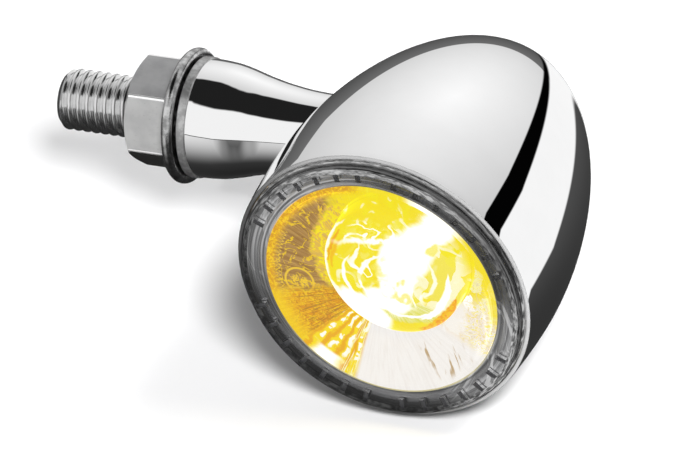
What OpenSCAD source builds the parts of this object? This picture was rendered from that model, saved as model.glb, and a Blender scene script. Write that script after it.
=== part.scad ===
// Bullet turn signal indicator on a threaded stalk.
// Frame: origin at the centre of the stalk's seat face, on the stud's axis.
// +X runs along the stalk to the lamp head, the stud points along -X,
// the lamp shines along -Y, and +Z is up.

/* [Lamp head] */
// Outer radius of the housing at the lens mouth
rim_r = 19.95; // [19.5:0.05:20.3]
// Largest outer radius of the housing
body_r = 20.35; // [20.3:0.05:21]
// Length of the housing from the mouth to the tip
body_len = 47.25; // [46:0.25:50]
// Distance from the mouth to the widest place
body_wide = 9.1; // [8:0.1:11]
// Roundness of the nose along the axis (2 is an ellipse)
nose_along = 1.826; // [1.7:0.02:2.2]
// Roundness of the nose across the axis (2 is an ellipse)
nose_across = 1.888; // [1.8:0.02:2.2]
// Wall thickness of the housing casting
wall = 1.8; // [1.5:0.1:2]
// Distance from the mouth to the stalk's axis
stalk_back = 29.2; // [28.5:0.1:30]

/* [Lens and bezel] */
// How far the lens stands in front of the mouth
lens_proud = 1.7; // [1.5:0.05:2]
// Extra height of the lens crown at its centre
lens_crown = 0.25; // [0.1:0.05:0.5]
// Radius of the clear window in front of the reflector
window_r = 15.2; // [14.8:0.1:15.8]
// Number of teeth in each quarter of the toothed ring
teeth_per_quarter = 7; // [5:1:8]
// Width of one tooth
tooth_w = 0.6; // [0.5:0.05:1.1]
// How far the toothed ring, the bezel and the lens are turned about the head's axis
lens_turn = 5.5; // [0:0.5:10]

/* [Optics] */
// Radius of the collimator dome
dome_r = 9.3; // [8.8:0.1:9.3]
// Height of the collimator dome above its straight wall
dome_h = 3.0; // [2.2:0.1:3.6]
// Height of the collimator's straight wall above its flange
dome_wall = 2.8; // [1.6:0.1:3]
// Number of flutes around the reflector
flutes = 36; // [12:4:48]

/* [Stalk and stud] */
// Distance from the seat face to the head's axis
stalk_len = 37.6; // [37.2:0.1:39]
// Radius of the collar beside the seat face
collar_r = 7.9; // [7.8:0.1:8.2]
// Thread pitch of the M8 stud
pitch = 1.25; // [1:0.25:1.25]
// Length of the stud beyond the seat face
stud_len = 18.65; // [17:0.05:22]
// Radius of the cable bore through the stud and stalk
cable_bore_r = 2.2; // [2:0.1:2.3]

/* [Nut and washer] */
// Width across the flats of the mounting nut
nut_flats = 13; // [12.5:0.5:13]
// Height of the mounting nut
nut_h = 6.0; // [5:0.1:6.8]
// Outer radius of the lock washer
washer_r = 8.83; // [8.2:0.01:9]
// Thickness of the lock washer over its teeth
washer_t = 1.9; // [1.4:0.1:2]
// Number of teeth on the lock washer
washer_teeth = 28; // [18:2:32]
// Angle of the nut's corners about the stud
nut_turn = 42; // [0:1:60]

/* [Hidden] */
$fn = 96;
gap = 0.02;            // working gap between parts that only touch
casting_grey = [0.86, 0.87, 0.88];
screw_grey = [0.62, 0.63, 0.65];

// Places along the head's axis, measured back from the mouth
bezel_back = 1.88;
ring_back = 2.58;
rim_back = 3.38;       // back of the reflector's rim
shoulder = 4.2;        // depth of the shoulder behind the lens stack
neck_front = 8.0;      // front of the reflector's inner edge
neck_back = 9.0;
collimator_back = 12.2;
package_front = 13;
board_front = 13.7;
board_back = 15.3;
pad_back = 15.7;
sink_front = pad_back + gap;
flange_back = 18.5;    // back of the heat sink's wide flange
sink_back = 21;
driver_front = 24.5;
driver_back = 25.7;
driver_parts = driver_back + gap;

// Radii and places across the head's axis
mouth_r = 19.4;        // bore of the housing mouth
stack_r = 19.2;        // reflector rim and gasket
tooth_inner = 17.0;    // inner end of the ring's teeth
tooth_len = 1.42;
tooth_step = 10;       // angle from one tooth to the next
tooth_start = 8;       // angle from the top or bottom to the first tooth
lug_r = 14.4;          // pitch radius of the housing's screw lugs
board_screw_r = 8.6;   // pitch radius of the LED board's screws
standoff = 6.2;        // x and y offset of the driver standoffs
lead_r = 0.5;
lead_x = [7.6, 9.0];
lead_mid = (lead_x[0] + lead_x[1]) / 2;

// Stalk, stud and cable
boss_r = 5.3;          // radius of the stalk neck and the housing boss
boss_face = 18.6;      // boss face, measured from the head's axis
pad_face = 12.2;       // inner pad face, measured from the head's axis
pad_x = stalk_len - pad_face;
neck_end = stalk_len - boss_face;
spigot_r = 3.8;        // radius of the stalk's spigot in the head
spigot_end = stalk_len - 8;
groove_start = neck_end + 2;
groove_w = 1.2;
spigot_washer_t = 0.8;
socket_depth = 8.2;    // depth of the stud's socket in the stalk
stud_r = 4.0;          // major radius of an M8 thread
root_r = stud_r - 0.61;
shank_r = 3.8;         // crest radius where the nut and the stalk cover the stud
stud_chamfer = 0.75;
thread_start = stud_chamfer - stud_len;
core_r = 0.54;
core_y = 0.72;
nut_face = -washer_t - nut_h - gap;

// Neck of the stalk: [radius, distance from the seat face]
neck_profile = [
    [7.5, 1.25], [7.62, 1.6], [7.66, 2.4], [7.62, 3.4], [7.5, 4.6], [7.32, 5.6],
    [7.06, 6.7], [6.78, 7.75], [6.5, 8.8], [6.27, 9.8], [6.05, 10.8], [5.86, 11.85],
    [5.7, 12.9], [5.56, 13.9], [5.45, 14.9], [5.36, 16.1]];

// ---- placing and shared shapes -----------------------------------------
// Puts a part drawn around +Z onto the head's axis, with its Z running
// back from the mouth
module in_head() translate([stalk_len, -stalk_back, 0]) rotate([-90, 0, 0]) children();
// Puts a part drawn around +Z onto the stalk's axis, with its Z along +X
module on_stalk() rotate([0, 90, 0]) children();
// Within the head, puts a part drawn around +Z onto the stalk's axis, with
// its Z running from the head's axis to the stalk
module to_stalk() translate([0, 0, stalk_back]) rotate([0, -90, 0]) children();
// Above and below the head's axis
module at_pair(radius) for (a = [90, 270]) rotate(a) translate([radius, 0, 0]) children();
module at_leads() for (x = lead_x) translate([x, 0, 0]) children();
module at_standoffs() for (y = [-standoff, standoff]) translate([standoff, y, 0]) children();
module at_cores() for (y = [-core_y, core_y]) translate([0, y, 0]) children();
module around(count) for (k = [0:count - 1]) rotate(k * 360 / count) children();

module disc(r, z0, z1) translate([0, 0, z0]) cylinder(r = r, h = z1 - z0);
// Cutter that overshoots both faces
module through(r, z0, z1) disc(r, z0 - 1, z1 + 1);
module ring(r_out, r_in, z0, z1) difference() {
    disc(r_out, z0, z1);
    through(r_in, z0, z1);
}
// Turns [radius, z] points about Z
module revolve(points) rotate_extrude() polygon(points);
module hex_bar(flats, h) cylinder(r = flats / sqrt(3), h = h, $fn = 6);

// Pan head screw, shank along +Z from z = 0, with a cross recess in its head
module pan_screw(head_r, head_h, shank_r, shank_len) difference() {
    union() {
        translate([0, 0, -head_h]) cylinder(r1 = head_r * 0.78, r2 = head_r, h = head_h * 0.5);
        disc(head_r, -head_h / 2, 0);
        disc(shank_r, 0, shank_len);
    }
    for (a = [0, 90]) rotate(a) translate([-head_r * 0.6, -0.2, -head_h - 0.1])
        cube([head_r * 1.2, 0.4, head_h * 0.55 + 0.1]);
}

// ---- housing -----------------------------------------------------------
// Nose points from the widest place to the tip, one inset inside the outer
// surface; stations are numbered 0 to last and crowd towards the tip
function nose(t) = pow(max(0, 1 - pow(t, nose_along)), 1 / nose_across);
function nose_points(order, last, inset) = [
    for (i = order)
        let (t = 1 - pow(1 - i / last, 2), length = body_len - inset - body_wide)
        [i == last ? 0 : (body_r - inset) * nose(t), body_wide + length * t]];

module housing_shell() revolve(concat(
    [[mouth_r, 0.35], [mouth_r + 0.18, 0.05], [rim_r - 0.12, 0], [rim_r, 0.12]],
    [for (i = [1:9]) [body_r - (body_r - rim_r) * pow(1 - i / 10, 2), body_wide * i / 10]],
    nose_points([0:36], 36, 0),
    nose_points([28:-1:0], 28, wall),
    [[body_r - wall, shoulder + 1.2], [mouth_r - 1.6, shoulder], [mouth_r, shoulder]]));

// Trims inner features halfway into the nose wall
module inside_nose() intersection() {
    children();
    revolve(concat([[0, body_wide]], nose_points([0:24], 24, wall / 2)));
}

module housing() color(casting_grey) in_head() difference() {
    union() {
        housing_shell();
        // boss that the stalk seats on, and the pad behind it
        to_stalk() disc(boss_r, pad_face, boss_face);
        inside_nose() to_stalk() disc(7, pad_face, boss_face);
        // lugs for the heat sink screws
        inside_nose() at_pair(lug_r) disc(2.5, 18.55, 34.55);
    }
    to_stalk() disc(spigot_r + 0.05, pad_face - 4, boss_face + 6);
    // spot face for the spigot's washer and nut
    to_stalk() disc(6.9, 5, pad_face);
    at_pair(lug_r) disc(1.27, 18, 25);
}

// ---- lens and bezel ----------------------------------------------------
// Teeth, or slots for them with clearance at their ends and sides. The rows
// part at the top and bottom, and further at the two sides
module teeth(front, back, end_gap = 0, side_gap = 0)
    for (a = [90, 270], side = [-1, 1], k = [0:teeth_per_quarter - 1])
        rotate(lens_turn + a + side * (tooth_start + k * tooth_step))
        translate([tooth_inner - end_gap, -tooth_w / 2 - side_gap, front])
        cube([tooth_len + 2 * end_gap, tooth_w + 2 * side_gap, back - front]);

module front_lens() color([0.93, 0.95, 0.97, 0.35]) in_head() {
    crown_r = 18.1;
    edge_round = 0.9;
    skirt_r = 18.92; // inside radius of the lens edge
    difference() {
        revolve(concat(
            [for (i = [0:8]) [crown_r * i / 8, -lens_proud - lens_crown * (1 - pow(i / 8, 2))]],
            [for (i = [1:6]) let (a = 90 * i / 6)
                [crown_r + edge_round * sin(a), -lens_proud + edge_round * (1 - cos(a))]],
            [[crown_r + edge_round, -0.2], [19.3, 0], [19.3, 0.95],
             [skirt_r, 0.95], [skirt_r, 0.1], [0, 0.1]]));
        teeth(front = -0.78, back = 0.42, end_gap = 0.1, side_gap = 0.06);
    }
}

module bezel_ring() color([0.80, 0.81, 0.83]) in_head() difference() {
    revolve([
        [window_r + 0.55, bezel_back], [window_r + 0.55, 0.15], [window_r + 0.75, 0.15],
        [window_r + 0.9, 0.55], [16.8, 0.55], [16.95, 0.25], [18.3, 0.25], [18.45, 0.6],
        [18.86, 0.9], [18.86, bezel_back]]);
    teeth(front = -1, back = 3, end_gap = 0.08, side_gap = 0.05);
}

module toothed_ring() color([0.05, 0.05, 0.055]) in_head() {
    ring(18.8, window_r + 0.6, bezel_back + gap, ring_back);
    teeth(front = -0.7, back = 2);
}

module lens_gasket() color([0.07, 0.07, 0.07]) in_head()
    ring(stack_r, 18.0, rim_back + gap, shoulder - gap);

// ---- optics ------------------------------------------------------------
// Point i of 12 on a reflector face that widens towards the mouth
function bowl(i, inner, spread, z, depth) = let (u = i / 12)
    [inner + spread * pow(u, 0.62), z - depth * u];

// The flutes are shallow gouges around the bowl
module reflector() color([0.88, 0.86, 0.82]) in_head() difference() {
    revolve(concat(
        [for (i = [0:12]) bowl(i, 9.5, window_r - 9.5, neck_front, 7.85)],
        [[window_r + 0.5, 0.15], [window_r + 0.5, ring_back + gap],
         [stack_r, ring_back + gap], [stack_r, rim_back], [window_r, rim_back]],
        [for (i = [10:-1:0]) bowl(i, 10.4, window_r - 9.9, neck_back, 6.8)],
        [[6.2, neck_back], [6.2, neck_front]]));
    around(flutes) translate([10.4, 0, 7.1]) rotate([0, 40, 0])
        cylinder(r = 0.42, h = 12, center = true, $fn = 24);
}

module collimator_lens() color([0.96, 0.93, 0.85, 0.35]) in_head() {
    flange_r = 9.45;
    flange_front = 7.2;
    flange_rear = neck_front - gap;
    difference() {
        revolve(concat(
            [for (i = [0:14]) let (a = 90 * i / 14)
                [dome_r * sin(a), flange_front - dome_wall - dome_h * cos(a)]],
            [[dome_r, flange_front], [flange_r, flange_front], [flange_r, flange_rear],
             [6.1, flange_rear], [5.9, 8.2], [3.7, collimator_back], [0, collimator_back]]));
        // tapered recess over the LED dome
        translate([0, 0, 9.9]) cylinder(r1 = 1.6, r2 = 2.0, h = 2.4);
    }
}

module collimator_holder() color([0.93, 0.93, 0.9]) in_head() {
    front = neck_back + 2 * gap;
    back = board_front - 2 * gap;
    revolve([[5.62, front], [6.6, front], [6.6, back], [4.0, back], [4.0, collimator_back]]);
}

module led_dome() color([1.0, 0.72, 0.1]) in_head() intersection() {
    translate([0, 0, package_front - gap]) sphere(r = 1.35);
    disc(3, 10, package_front - gap);
}

module led_package() color([0.95, 0.95, 0.92]) in_head()
    translate([-1.72, -1.72, package_front])
    cube([3.45, 3.45, board_front - gap - package_front]);

// ---- LED board and heat sink -------------------------------------------
module led_board() color([0.93, 0.94, 0.95]) in_head() difference() {
    disc(11, board_front, board_back);
    at_pair(board_screw_r) through(1.15, board_front, board_back);
    at_leads() through(lead_r + gap, board_front, board_back);
}

module thermal_pad() color([0.55, 0.6, 0.68]) in_head() difference() {
    disc(10.8, board_back + gap, pad_back);
    at_pair(board_screw_r) through(1.3, board_back, pad_back);
    translate([lead_mid, 0, 0]) through(1.7, board_back, pad_back);
}

module heat_sink() color([0.74, 0.75, 0.76]) in_head() difference() {
    slot_pitch = 2.6;
    union() {
        disc(17.4, sink_front, flange_back);
        disc(10.4, flange_back, sink_back);
    }
    at_pair(board_screw_r) disc(1.03, 13, 19.2);
    at_pair(lug_r) through(1.5, sink_front, flange_back);
    translate([lead_mid, 0, 0]) through(1.7, sink_front, sink_back);
    // cooling slots across the back
    for (k = [-3:1]) translate([k * slot_pitch - 0.6, -12, 19.4]) cube([1.2, 24, 2]);
    // standoff pin holes
    at_standoffs() disc(0.92, 19.2, 22.2);
}

module board_screws() color(screw_grey) in_head()
    at_pair(board_screw_r) translate([0, 0, board_front - gap])
    pan_screw(head_r = 1.8, head_h = 1.2, shank_r = 1.0, shank_len = 5.2);

module heat_sink_screws() color(screw_grey) in_head()
    at_pair(lug_r) translate([0, 0, sink_front - gap])
    pan_screw(head_r = 2.2, head_h = 1.4, shank_r = 1.25, shank_len = 8.2);

// ---- driver ------------------------------------------------------------
module driver_standoffs() color([0.78, 0.65, 0.3]) in_head() at_standoffs() difference() {
    union() {
        translate([0, 0, sink_back + gap]) hex_bar(3.2, driver_front - sink_back - 2 * gap);
        disc(0.9, 19.4, sink_back + 0.1);
    }
    disc(0.82, 22.3, 25);
}

// Round board with its stalk side cut straight
module driver_board() color([0.05, 0.3, 0.16]) in_head() difference() {
    intersection() {
        disc(11.4, driver_front, driver_back);
        translate([-4.5, -12, 20]) cube([20, 24, 10]);
    }
    at_standoffs() through(1.1, driver_front, driver_back);
    at_leads() through(lead_r + gap, driver_front, driver_back);
}

module driver_screws() color(screw_grey) in_head()
    at_standoffs() translate([0, 0, driver_parts]) mirror([0, 0, 1])
    pan_screw(head_r = 1.7, head_h = 1.0, shank_r = 0.8, shank_len = 3.1);

module driver_choke() color([0.16, 0.16, 0.17]) in_head() translate([5.1, 0, 0]) {
    ring(1.9, 0.6, driver_parts, 28.6);
    ring(1.45, 0.62, 28.6, 28.9);
}

module driver_capacitor() color([0.2, 0.22, 0.3]) in_head()
    translate([0.4, -7.6, 0]) disc(2, driver_parts, 30.2);

// Chip body and its two rows of legs
module driver_chip() color([0.08, 0.08, 0.09]) in_head() {
    translate([-1.6, 4.6, driver_back + 0.25]) cube([4, 5, 1.1]);
    for (k = [0:3], x = [-2.3, 2.4])
        translate([x, 5.1 + k * 1.2, driver_parts]) cube([0.7, 0.4, 0.5]);
}

module cable_socket() color([0.9, 0.9, 0.87]) in_head() difference() {
    translate([-4.4, -2.6, driver_parts]) cube([5.2, 5.2, 6.4]);
    to_stalk() disc(1.66, 0.2, 6);
}

module led_leads() color([0.75, 0.1, 0.08]) in_head()
    at_leads() disc(lead_r, board_front + 0.2, driver_back - 0.2);

// ---- stalk -------------------------------------------------------------
module stalk() color(casting_grey) on_stalk() {
    socket_r = shank_r + gap;
    neck_face = neck_end - gap;
    fit_r = spigot_r - 0.01;
    groove_r = spigot_r - 0.85;
    groove_end = groove_start + groove_w;
    revolve(concat(
        [[socket_r, 0], [collar_r - 0.15, 0], [collar_r, 0.15],
         [collar_r, 1.05], [collar_r - 0.15, 1.2]],
        neck_profile,
        [[boss_r, 17.3], [boss_r, neck_face], [fit_r, neck_face],
         [fit_r, groove_start], [groove_r, groove_start],
         [groove_r, groove_end], [fit_r, groove_end],
         [fit_r, spigot_end - 0.4], [spigot_r - 0.4, spigot_end],
         [cable_bore_r, spigot_end], [cable_bore_r, socket_depth],
         [socket_r, socket_depth]]));
}

// Crest radius after k turns: full size on the free end of the stud
function crest(k) = thread_start + k * pitch < nut_face - 0.3 ? stud_r : shank_r;

// The thread is a row of ring grooves, one for each turn
module threaded_stud() color([0.78, 0.79, 0.8]) on_stalk() {
    turns = floor((stud_len - 1.4) / pitch);
    inner_end = socket_depth - 0.1;
    revolve(concat(
        [[cable_bore_r, inner_end], [cable_bore_r, -stud_len + 0.3],
         [cable_bore_r + 0.3, -stud_len], [stud_r - stud_chamfer, -stud_len],
         [stud_r, thread_start]],
        [for (k = [0:turns - 1])
            for (point = [[crest(k), 0.2], [root_r, 0.55], [root_r, 0.71], [crest(k + 1), 1.06]])
                point + [0, thread_start + k * pitch]],
        [[shank_r, inner_end]]));
}

module spigot_seal() color([0.05, 0.05, 0.05]) on_stalk()
    translate([0, 0, groove_start + groove_w / 2])
    rotate_extrude() translate([spigot_r - 0.4, 0]) circle(r = 0.42, $fn = 48);

module spigot_washer() color([0.6, 0.61, 0.63]) on_stalk()
    ring(6.5, spigot_r + 0.04, pad_x + gap, pad_x + gap + spigot_washer_t);

module spigot_nut() color(screw_grey) on_stalk()
    translate([0, 0, pad_x + spigot_washer_t + 2 * gap]) difference() {
        hex_bar(11.5, 2.6);
        through(spigot_r + gap, 0, 2.6);
    }

module cable_sheath() color([0.06, 0.06, 0.065]) on_stalk() difference() {
    disc(1.6, -stud_len + 1.2, stalk_len - 1.2);
    at_cores() through(core_r + gap, -stud_len, stalk_len, $fn = 48);
}

module cable_cores() color([0.8, 0.45, 0.25]) on_stalk()
    at_cores() disc(core_r, -stud_len + 0.6, stalk_len - 0.8, $fn = 48);

// ---- mounting hardware -------------------------------------------------
// Plain ring with a rounded rim, and radial teeth on its seat side
module lock_washer() color([0.8, 0.81, 0.82]) on_stalk() {
    plate_t = washer_t - 0.3;
    edge_r = plate_t / 2;
    bore_r = stud_r + 0.25;
    translate([0, 0, -washer_t]) revolve(concat(
        [[bore_r, 0]],
        [for (i = [0:8]) let (a = -90 + 180 * i / 8)
            [washer_r - edge_r + edge_r * cos(a), edge_r + edge_r * sin(a)]],
        [[bore_r, plate_t]]));
    around(washer_teeth) translate([5.4, -0.28, -0.5]) cube([collar_r - 5.6, 0.56, 0.48]);
}

module hex_nut() color([0.72, 0.72, 0.73]) on_stalk() translate([0, 0, nut_face]) {
    corner_r = nut_flats / sqrt(3) + 0.02;
    bore_r = stud_r + 0.06;
    bore_mouth_r = stud_r + 0.5;
    difference() {
        intersection() {
            rotate(nut_turn) hex_bar(nut_flats, nut_h);
            // chamfers the corners
            revolve([[0, 0], [nut_flats / 2 - 0.15, 0], [corner_r, 0.62],
                [corner_r, nut_h - 0.35], [nut_flats / 2 + 0.2, nut_h], [0, nut_h]]);
        }
        through(bore_r, 0, nut_h);
        translate([0, 0, -0.01]) cylinder(r1 = bore_mouth_r, r2 = bore_r, h = 0.5);
        translate([0, 0, nut_h - 0.49]) cylinder(r1 = bore_r, r2 = bore_mouth_r, h = 0.5);
    }
}

housing();
front_lens();
bezel_ring();
toothed_ring();
reflector();
lens_gasket();
collimator_lens();
collimator_holder();
led_dome();
led_package();
led_board();
thermal_pad();
heat_sink();
board_screws();
heat_sink_screws();
driver_standoffs();
driver_board();
driver_screws();
driver_choke();
driver_capacitor();
driver_chip();
cable_socket();
led_leads();
stalk();
threaded_stud();
spigot_seal();
spigot_washer();
spigot_nut();
cable_sheath();
cable_cores();
lock_washer();
hex_nut();
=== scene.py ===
"""Amber LED lamp: a bullet-shaped head on a stalk, held by a threaded stud, nut and lock washer.

The stalk's axis is X, with the stud towards -X and the head towards +X. The head's axis
crosses the stalk's and runs along Y: its mouth faces -Y and its nose points to +Y. Z is up.
Shapes are in millimetres. A station is a distance along a part's axis: behind the mouth
plane for the head's parts, and simply x for the stalk's. The studio is in metres.
"""

import math
import random
from contextlib import contextmanager
from functools import cached_property

import bpy
import bmesh
import numpy as np
from mathutils import Matrix, Vector

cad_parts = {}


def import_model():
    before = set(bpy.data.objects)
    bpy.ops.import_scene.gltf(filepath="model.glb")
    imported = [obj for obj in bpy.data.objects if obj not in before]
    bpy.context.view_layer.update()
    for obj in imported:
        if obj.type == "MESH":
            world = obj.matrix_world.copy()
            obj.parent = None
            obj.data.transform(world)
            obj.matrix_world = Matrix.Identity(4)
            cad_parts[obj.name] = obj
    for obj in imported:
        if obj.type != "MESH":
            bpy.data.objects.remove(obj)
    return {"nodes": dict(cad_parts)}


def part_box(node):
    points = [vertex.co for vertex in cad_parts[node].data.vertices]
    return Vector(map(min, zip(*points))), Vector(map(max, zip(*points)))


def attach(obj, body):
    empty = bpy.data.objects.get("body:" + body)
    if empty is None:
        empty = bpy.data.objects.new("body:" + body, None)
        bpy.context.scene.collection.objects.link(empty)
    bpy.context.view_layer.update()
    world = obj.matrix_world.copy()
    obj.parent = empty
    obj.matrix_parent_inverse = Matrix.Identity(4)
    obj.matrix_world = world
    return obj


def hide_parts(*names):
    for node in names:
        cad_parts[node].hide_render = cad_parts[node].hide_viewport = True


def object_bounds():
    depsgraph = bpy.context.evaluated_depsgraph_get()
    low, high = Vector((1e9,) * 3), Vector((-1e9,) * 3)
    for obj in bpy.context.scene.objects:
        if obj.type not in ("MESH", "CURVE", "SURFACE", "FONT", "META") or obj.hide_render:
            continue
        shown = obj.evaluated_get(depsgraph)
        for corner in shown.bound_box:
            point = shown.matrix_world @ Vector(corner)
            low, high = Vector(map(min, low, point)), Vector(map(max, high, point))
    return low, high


random.seed(7)
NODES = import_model()["nodes"]
CAD_BOX = [[float(v) for v in p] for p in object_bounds()]
MM = 0.001
TURN = 2 * math.pi

# ---- driving sizes, read from the CAD pieces -------------------------------
housing_low, housing_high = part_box("housing")
lens_low, lens_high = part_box("front_lens")
HEAD_X = ((lens_low + lens_high) / 2).x / MM                # the head's axis
HEAD_RADIUS = (housing_high.z - housing_low.z) / 2 / MM     # largest radius of the housing
HEAD_LENGTH = (housing_high.y - housing_low.y) / MM
AXIS_DEPTH = -housing_low.y / MM                            # stalk's axis behind the mouth


# ---- mesh helpers ------------------------------------------------------------
def in_head(right, station, up):
    """Point at a station of the head, off its axis by right (x) and up (z)."""
    return (HEAD_X + right, -AXIS_DEPTH + station, up)


def on_stalk(back, station, up):
    """Point at a station of the stalk, off its axis by back (y) and up (z)."""
    return (station, back, up)


@contextmanager
def editing(mesh):
    """Opens a mesh as a bmesh and writes it back."""
    edit = bmesh.new()
    edit.from_mesh(mesh)
    yield edit
    edit.to_mesh(mesh)
    edit.free()


def sharpen(obj, angle):
    """Marks the edges that are sharper than an angle in degrees."""
    obj.data.set_sharp_from_angle(angle=math.radians(angle))
    return obj


def mesh_object(name, verts, faces, smooth=True):
    mesh = bpy.data.meshes.new(name)
    mesh.from_pydata([(x * MM, y * MM, z * MM) for x, y, z in verts], [], faces)
    mesh.update()
    with editing(mesh) as edit:
        bmesh.ops.remove_doubles(edit, verts=edit.verts, dist=1e-7)
        bmesh.ops.recalc_face_normals(edit, faces=edit.faces)
    mesh.update()
    for face in mesh.polygons:
        face.use_smooth = smooth
    obj = bpy.data.objects.new(name, mesh)
    bpy.context.scene.collection.objects.link(obj)
    return obj


def lathe(name, profile, segments, place=in_head, sharp_angle=32,
          ripple=lambda ring, angle: 0.0):
    """Revolves a closed profile [(radius, station)]; points on the axis become poles.

    ripple gives what is added to the radius at a ring and an angle.
    """
    verts, faces, rings = [], [], []
    for ring, (radius, station) in enumerate(profile):
        count = 1 if radius < 1e-6 else segments
        rings.append(range(len(verts), len(verts) + count))
        for k in range(count):
            angle = TURN * k / segments
            reach = radius + ripple(ring, angle)
            verts.append(place(reach * math.cos(angle), station, reach * math.sin(angle)))
    for this, following in zip(rings, rings[1:] + rings[:1]):
        if len(this) == 1 and len(following) == 1:
            continue
        for k in range(segments):
            after = (k + 1) % segments
            if len(this) == 1:
                faces.append((this[0], following[k], following[after]))
            elif len(following) == 1:
                faces.append((this[k], this[after], following[0]))
            else:
                faces.append((this[k], this[after], following[after], following[k]))
    return sharpen(mesh_object(name, verts, faces), sharp_angle)


def prism(name, radius, ends, sides, turn=0.0):
    """Closed prism along the stalk's axis between two stations, turned by some degrees."""
    verts = []
    for station in ends:
        for k in range(sides):
            angle = math.radians(turn) + TURN * k / sides
            verts.append(on_stalk(radius * math.cos(angle), station, radius * math.sin(angle)))
    faces = [(k, (k + 1) % sides, sides + (k + 1) % sides, sides + k) for k in range(sides)]
    faces += [tuple(range(sides)), tuple(range(2 * sides - 1, sides - 1, -1))]
    return mesh_object(name, verts, faces, smooth=False)


BLOCK_FACES = ((0, 1, 2, 3), (7, 6, 5, 4), (0, 4, 5, 1), (1, 5, 6, 2), (2, 6, 7, 3), (3, 7, 4, 0))


def blocks(name, angles, ends, place):
    """One mesh with a block at each angle; ends are two (station, four (radius, across))."""
    verts, faces = [], []
    for angle in angles:
        faces += [tuple(len(verts) + corner for corner in face) for face in BLOCK_FACES]
        cosine, sine = math.cos(angle), math.sin(angle)
        for station, corners in ends:
            for radius, across in corners:
                verts.append(place(radius * cosine - across * sine, station,
                                   radius * sine + across * cosine))
    return mesh_object(name, verts, faces, smooth=False)


def boolean(obj, tool, operation):
    """Exact boolean of one closed mesh with another; the tool is used up."""
    modifier = obj.modifiers.new("cut", "BOOLEAN")
    modifier.operation = operation
    modifier.solver = "EXACT"
    modifier.object = tool
    depsgraph = bpy.context.evaluated_depsgraph_get()
    depsgraph.update()
    mesh = bpy.data.meshes.new_from_object(obj.evaluated_get(depsgraph))
    obj.modifiers.clear()
    old, tool_mesh = obj.data, tool.data
    obj.data = mesh
    mesh.name = obj.name
    bpy.data.meshes.remove(old)
    bpy.data.objects.remove(tool)
    bpy.data.meshes.remove(tool_mesh)


def bevel(obj, width, segments, wanted=lambda edge: True):
    with editing(obj.data) as edit:
        bmesh.ops.bevel(edit, geom=[edge for edge in edit.edges if wanted(edge)],
                        offset=width * MM, segments=segments, affect="EDGES", profile=0.5)


def tidy(obj, angle=32):
    """Welds, turns the normals outwards, smooths, and marks the sharp edges."""
    with editing(obj.data) as edit:
        bmesh.ops.remove_doubles(edit, verts=edit.verts, dist=2e-7)
        bmesh.ops.dissolve_degenerate(edit, edges=edit.edges, dist=2e-7)
        bmesh.ops.recalc_face_normals(edit, faces=edit.faces)
    for face in obj.data.polygons:
        face.use_smooth = True
    obj.data.update()
    return sharpen(obj, angle)


def arc(radius, station, bend, start, end, pieces):
    """Arc of radius bend about (radius, station), between two angles in degrees."""
    angles = [math.radians(start + (end - start) * i / pieces) for i in range(pieces + 1)]
    return [(radius + bend * math.cos(a), station + bend * math.sin(a)) for a in angles]


def curve_through(points, pieces):
    """Monotone cubic through [(radius, station)], with some pieces per gap."""
    radii, stations = (np.array(column, float) for column in zip(*points))
    gaps = np.diff(stations)
    slopes = np.diff(radii) / gaps
    before, after = slopes[:-1], slopes[1:]
    total = np.where(before + after == 0, 1, before + after)
    tangents = np.zeros(len(stations))
    tangents[1:-1] = np.where(before * after > 0, 2 * before * after / total, 0)
    tangents[0], tangents[-1] = slopes[0], slopes[-1]
    curve = []
    for i, gap in enumerate(gaps):
        for k in range(pieces if i < len(gaps) - 1 else pieces + 1):
            t = k / pieces
            radius = ((2 * t ** 3 - 3 * t ** 2 + 1) * radii[i]
                      + (t ** 3 - 2 * t ** 2 + t) * gap * tangents[i]
                      + (-2 * t ** 3 + 3 * t ** 2) * radii[i + 1]
                      + (t ** 3 - t ** 2) * gap * tangents[i + 1])
            curve.append((float(radius), float(stations[i] + t * gap)))
    return curve


# ---- housing -------------------------------------------------------------------
HEAD_SEGMENTS = 288
RIM_RADIUS, LIP_ROUND = 19.95, 0.275         # outside of the mouth, rounding of its lip
WIDEST = 9.1                                 # station of the largest radius
LENGTH_POWER, RADIUS_POWER = 1.826, 1.888    # how full the nose is along and across
WALL = 1.8
MOUTH_STEP = [(18.55, 5.4), (17.6, 4.2), (19.4, 4.2)]    # inside the mouth (radius, station)
ENTRY_OUTER, ENTRY_INNER = 18.6, 12.2        # ends of the stalk's boss, short of the head's axis
LUG_OFFSET = 14.4                            # the two lugs, above and below the head's axis


def nose(radius, length, pieces):
    """Bullet nose from its widest place to the tip, as [(radius, station)]."""
    profile = []
    for i in range(pieces + 1):
        angle = math.pi / 2 * (i / pieces)
        reach = 0.0 if i == pieces else radius * math.cos(angle) ** (2 / RADIUS_POWER)
        profile.append((reach, WIDEST + (length - WIDEST) * math.sin(angle) ** (2 / LENGTH_POWER)))
    return profile


def trim_to_wall(obj):
    """Keeps what lies inside the middle of the shell's wall."""
    radius, start = HEAD_RADIUS - WALL / 2, WIDEST - 6
    profile = [(0.0, start), (radius, start)] + nose(radius, HEAD_LENGTH - WALL / 2, 40)
    boolean(obj, lathe("inside", profile, 96), "INTERSECT")


def entry_bar(name, radius, outer, inner):
    """Round bar on the stalk's axis, between two distances short of the head's axis."""
    return prism(name, radius, (HEAD_X - outer, HEAD_X - inner), sides=128)


def lug_bar(name, radius, start, end, angle):
    """Round bar parallel to the head's axis, at a lug's angle."""
    right, up = LUG_OFFSET * math.cos(angle), LUG_OFFSET * math.sin(angle)
    return lathe(name, [(0, start), (radius, start), (radius, end), (0, end)], 40,
                 place=lambda x, station, z: in_head(right + x, station, up + z))


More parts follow.
